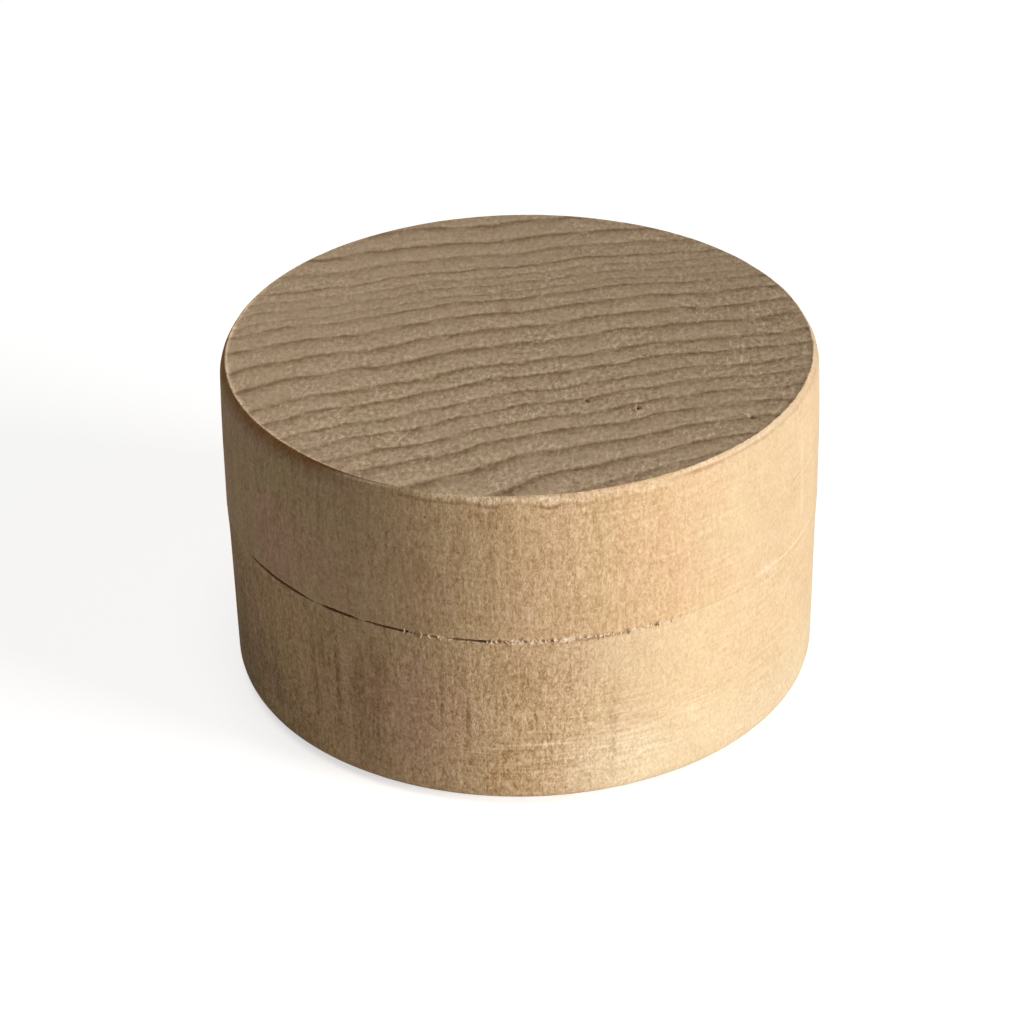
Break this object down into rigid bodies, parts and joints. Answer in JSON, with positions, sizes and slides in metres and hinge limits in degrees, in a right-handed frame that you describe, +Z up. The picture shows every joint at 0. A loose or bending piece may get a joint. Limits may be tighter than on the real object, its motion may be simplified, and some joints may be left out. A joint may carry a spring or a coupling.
{
  "type": "round wooden box",
  "caption": "Small round box turned from pale wood, with a flat-topped lid that lifts off a raised inner spigot.",
  "frame": {"origin": "middle of the underside, on the turning axis", "axes": "+Z up along the turning axis; +Y away from the viewer of the picture, so the growth rings on the lid run roughly along X"},
  "size_m": [0.055, 0.055, 0.032],
  "materials": {
    "turned_wood": "bare, unsanded"
  },
  "bodies": {
    "base": {"base": "turned_wood"},
    "lid": {"lid": "turned_wood"}
  },
  "joints": [
    {"name": "lid_lift", "type": "slide", "parent": "base", "child": "lid", "axis": [0, 0, 1], "range_m": [0, 0.04]}
  ]
}
